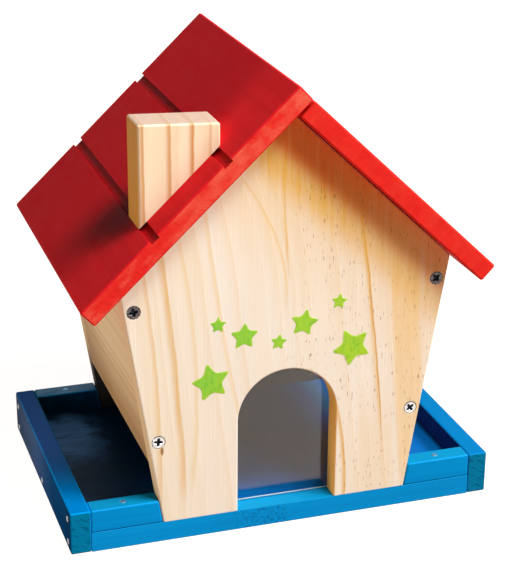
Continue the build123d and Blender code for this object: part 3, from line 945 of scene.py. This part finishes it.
def dress_boards():
    """Materials of the wooden boards and the pane."""
    upright = (0, 1, 2)
    front = pine(
        "pine_front", upright, seed=3.0, spacing=9.5, lean=0.11, bow=0.0016, bands=0.3, lines=FRONT_LINES,
        resin_from=2,
        marks=[
            (yellow_zones, YELLOW_ZONE), (lid_penumbra_ochre, OCHRE), (lid_shadow, LID_SHADOW), (left_side_shade, SHADE_SAWN),
            (jamb_side_shade, SHADE_TAN), (jamb_shade, DEEP_SHADE), (pitch_run, PITCH_BROWN)])
    dress(front, "front_panel")
    back = pine(
        "pine_back", upright, seed=11.0, spacing=10.0, lean=-0.04, resin_from=-30,
        marks=[(left_side_shade, SHADE_SAWN), (back_foot_shade, DEEP_SHADE)])
    dress(back, "back_panel")
    level = (2, 0, 1)
    left_wall = pine(
        "pine_left_wall", level, seed=23.0, spacing=8.0, lean=0.05, tones=SIDE_PINE,
        marks=[(wall_foot, WALL_FOOT)])
    dress(left_wall, "left_wall")
    right_wall = pine(
        "pine_right_wall", level, seed=31.0, spacing=9.0, lean=-0.03, marks=[(right_wall_shade, DEEP_SHADE)])
    dress(right_wall, "right_wall")
    chimney = pine(
        "pine_chimney", upright, seed=41.0, spacing=8.0, lean=-0.02, tones=CHIMNEY_PINE, bands=0.3,
        lines=CHIMNEY_LINES,
        marks=[(left_side_shade, SHADE_TAN), (cut_top, CUT_PINK)])
    dress(chimney, "chimney")
    depthwise = (0, 2, 1)
    left_roof = paint(
        "red_left", depthwise, RED_ROOF, RED_TONES[:2], seed=2.0, end_specks=0.75, gloss=0.02,
        marks=[
            (roof_back_shade, RED_BACK), (groove_shade, RED_SHADE), (chimney_shadow, RED_SHADE),
            (apex_wear, RED_TONES[2])])
    dress(left_roof, "left_roof_panel")
    lid = paint("red_lid", depthwise, RED_TONES, seed=6.0, end_specks=0.12, gloss=0.02)
    dress(lid, "right_roof_panel")
    widthwise = (1, 2, 0)
    painted_top_shade = (top_shade, BLUE_TOP)
    base = paint(
        "blue_base", widthwise, BLUE_TONES, seed=4.0, gloss=0.06,
        marks=[
            painted_top_shade, (inside_blue, BLUE_INSIDE), (smudges, BLUE_SMUDGE), (trough_shade, BLUE_SHADE),
            (tray_light_pool, BLUE_LIGHT_POOL), (right_floor_shade, RIGHT_FLOOR)])
    dress(base, "base_board")
    left_rail = paint(
        "blue_left_rail", depthwise, BLUE_TONES, RAIL_ENDS, seed=8.0, gloss=0.0,
        marks=[
            (top_shade, LEFT_TOP), (rail_top_light, BLUE_PALE), (rail_side_shade, BLUE_SIDE_SHADE), (rail_side_sheen, BLUE_SHEEN)])
    dress(left_rail, "left_rail")
    right_rail = paint(
        "blue_right_rail", depthwise, RAIL_TONES, RAIL_ENDS, seed=9.0, edge_wear=0.6, gloss=0.02,
        marks=[(top_shade, RIGHT_TOP), (right_rail_inner_shade, RAIL_SHADE)])
    dress(right_rail, "right_rail")
    front_rails = paint(
        "blue_front_rails", widthwise, BLUE_TONES, seed=12.0, edge_wear=0.6, gloss=0.04, marks=[painted_top_shade])
    dress(front_rails, "front_left_rail", "front_right_rail")
    back_rails = paint(
        "blue_back_rails", widthwise, RAIL_TONES, seed=15.0, edge_wear=0.9,
        marks=[(rubbed_and_lit_top, BACK_TOP), (back_rail_inner_shade, BACK_SHADE)])
    dress(back_rails, "back_left_rail", "back_right_rail")
    dress(clear_sheet(), "window_pane", edge=sawn_edge())


def dress_metal():
    """Screws, nails and hinges."""
    zinc = metal("zinc", ZINC, roughness=0.22)
    # The dark zinc's strong light and dark patches are painted reflections
    dark = metal("dark_zinc", DARK_ZINC, roughness=0.16, patchy=1.2)
    # The driver recess material is painted shade in the crosses and the gaps round the heads
    recess = metal("driver_recess", RECESS_SHADE, roughness=0.4)
    steel = metal("dull_steel", DULL_STEEL, roughness=0.35)
    painted = metal("painted_steel", PAINTED_STEEL, roughness=0.55)
    brass = metal("brass", BRASS, roughness=0.30)
    detail_screws("front_wall_screws", (zinc, recess, dark), front=True)
    for node in ("back_wall_screws", "base_screws", "chimney_screws"):
        detail_screws(node, (zinc, recess))
    detail_screws("window_screws", (zinc, recess), PANE_SCREW_STANDS, PANE_SHANK_SHARE)
    for side, material in (("left", steel), ("right", steel), ("short", painted)):
        detail_nails(f"{side}_rail_nails", material)
    dress(steel, "left_roof_nails", round_edges=False)
    dress(brass, "fixed_leaf_screws", "lid_leaf_screws", round_edges=False)
    for place in ("front", "back"):
        for part in ("fixed_leaf", "lid_leaf", "pin"):
            dress(brass, f"{place}_hinge_{part}", round_edges=False)


def seen_directly(look):
    """1 on rays from the camera, off gloss and through the clear sheet, and 0 on the rest."""
    path = look.node("ShaderNodeLightPath")
    rays = [Field(look, path.outputs[f"Is {kind} Ray"]) for kind in ("Camera", "Glossy", "Transmission")]
    return look.math("MINIMUM", rays[0] + rays[1] + rays[2], 1.0)


def set_floor():
    """Pale floor that the camera sees as white, with a trace of the object's shadow."""
    mesh = bmesh.new()
    bmesh.ops.create_grid(mesh, x_segments=1, y_segments=1, size=FLOOR_WIDTH / 2 * MM)
    look = Look("floor")
    look.set(base_color=FLOOR_SHADE, roughness=0.9, specular_ior_level=0.0)
    x, y, _ = look.place()
    away = look.math("SQRT", x * x + y * y).ramp(*FLOOR_CLEAR)
    glow = FLOOR_GLOW + away * (1 - FLOOR_GLOW)
    look.set(emission_color=WHITE, emission_strength=seen_directly(look) * glow)
    floor = piece("floor", mesh, look.material)
    floor.location.z = -FLOOR_DROP * MM


class Sky(Look):
    """The world's nodes."""

    def __init__(self):
        world = bpy.data.worlds.new("studio")
        world.use_nodes = True
        bpy.context.scene.world = world
        self.tree = world.node_tree
        self.shader = self.tree.nodes["Background"]


def add_lamp(name, place, aim, size, power):
    """Round lamp at a place, facing a point; the camera doesn't see it."""
    lamp = bpy.data.lights.new(name, "AREA")
    lamp.shape = "DISK"
    lamp.size = size * MM
    lamp.energy = power
    made = bpy.data.objects.new(name, lamp)
    made.location = place * MM
    made.rotation_euler = (place - aim).to_track_quat("Z", "Y").to_euler()
    made.visible_camera = False
    bpy.context.scene.collection.objects.link(made)


def set_light():
    """White surroundings, a weak even light, two large lamps and two small cards near the floor."""
    sky = Sky()
    sky.set(color=sky.mix(seen_directly(sky), FILL, WHITE), strength=1.0)
    middle = (cad_box[0] + cad_box[1]) / 2 / MM
    add_lamp("key", middle + KEY_FROM.normalized() * KEY_DISTANCE, middle, KEY_SIZE, KEY_POWER)
    add_lamp("top", middle + TOP_FROM.normalized() * TOP_DISTANCE, middle, TOP_SIZE, TOP_POWER)
    add_lamp("side_card", CARD_PLACE, CARD_AIM, CARD_SIZE, CARD_POWER)
    add_lamp("front_card", LOW_PLACE, LOW_AIM, LOW_SIZE, LOW_POWER)


def set_camera():
    """Camera at the photograph's viewing angle."""
    ahead = Vector((
        math.sin(CAMERA_AZIMUTH) * math.cos(CAMERA_ELEVATION),
        math.cos(CAMERA_AZIMUTH) * math.cos(CAMERA_ELEVATION), -math.sin(CAMERA_ELEVATION)))
    right = Vector((math.cos(CAMERA_AZIMUTH), -math.sin(CAMERA_AZIMUTH), 0))
    down = ahead.cross(right)
    rolled_right = right * math.cos(CAMERA_ROLL) + down * math.sin(CAMERA_ROLL)
    rolled_up = right * math.sin(CAMERA_ROLL) - down * math.cos(CAMERA_ROLL)
    lens = bpy.data.cameras.new("camera")
    lens.sensor_width = SENSOR_WIDTH
    lens.lens = FOCAL_PIXELS / PICTURE_HEIGHT * SENSOR_WIDTH
    lens.clip_start = NEAREST_SEEN * MM
    camera = bpy.data.objects.new("camera", lens)
    turn = Matrix((rolled_right, rolled_up, -ahead)).transposed()
    camera.matrix_world = Matrix.Translation(CAMERA_PLACE * MM) @ turn.to_4x4()
    bpy.context.scene.collection.objects.link(camera)
    bpy.context.scene.camera = camera


bpy.context.scene.view_settings.view_transform = "Standard"
set_camera()
set_light()
set_floor()
dress_boards()
dress_metal()
paint_stars(star_paint("star_paint", GREEN, LIME), star_paint("star_rim", LIME, PALE_LIME))
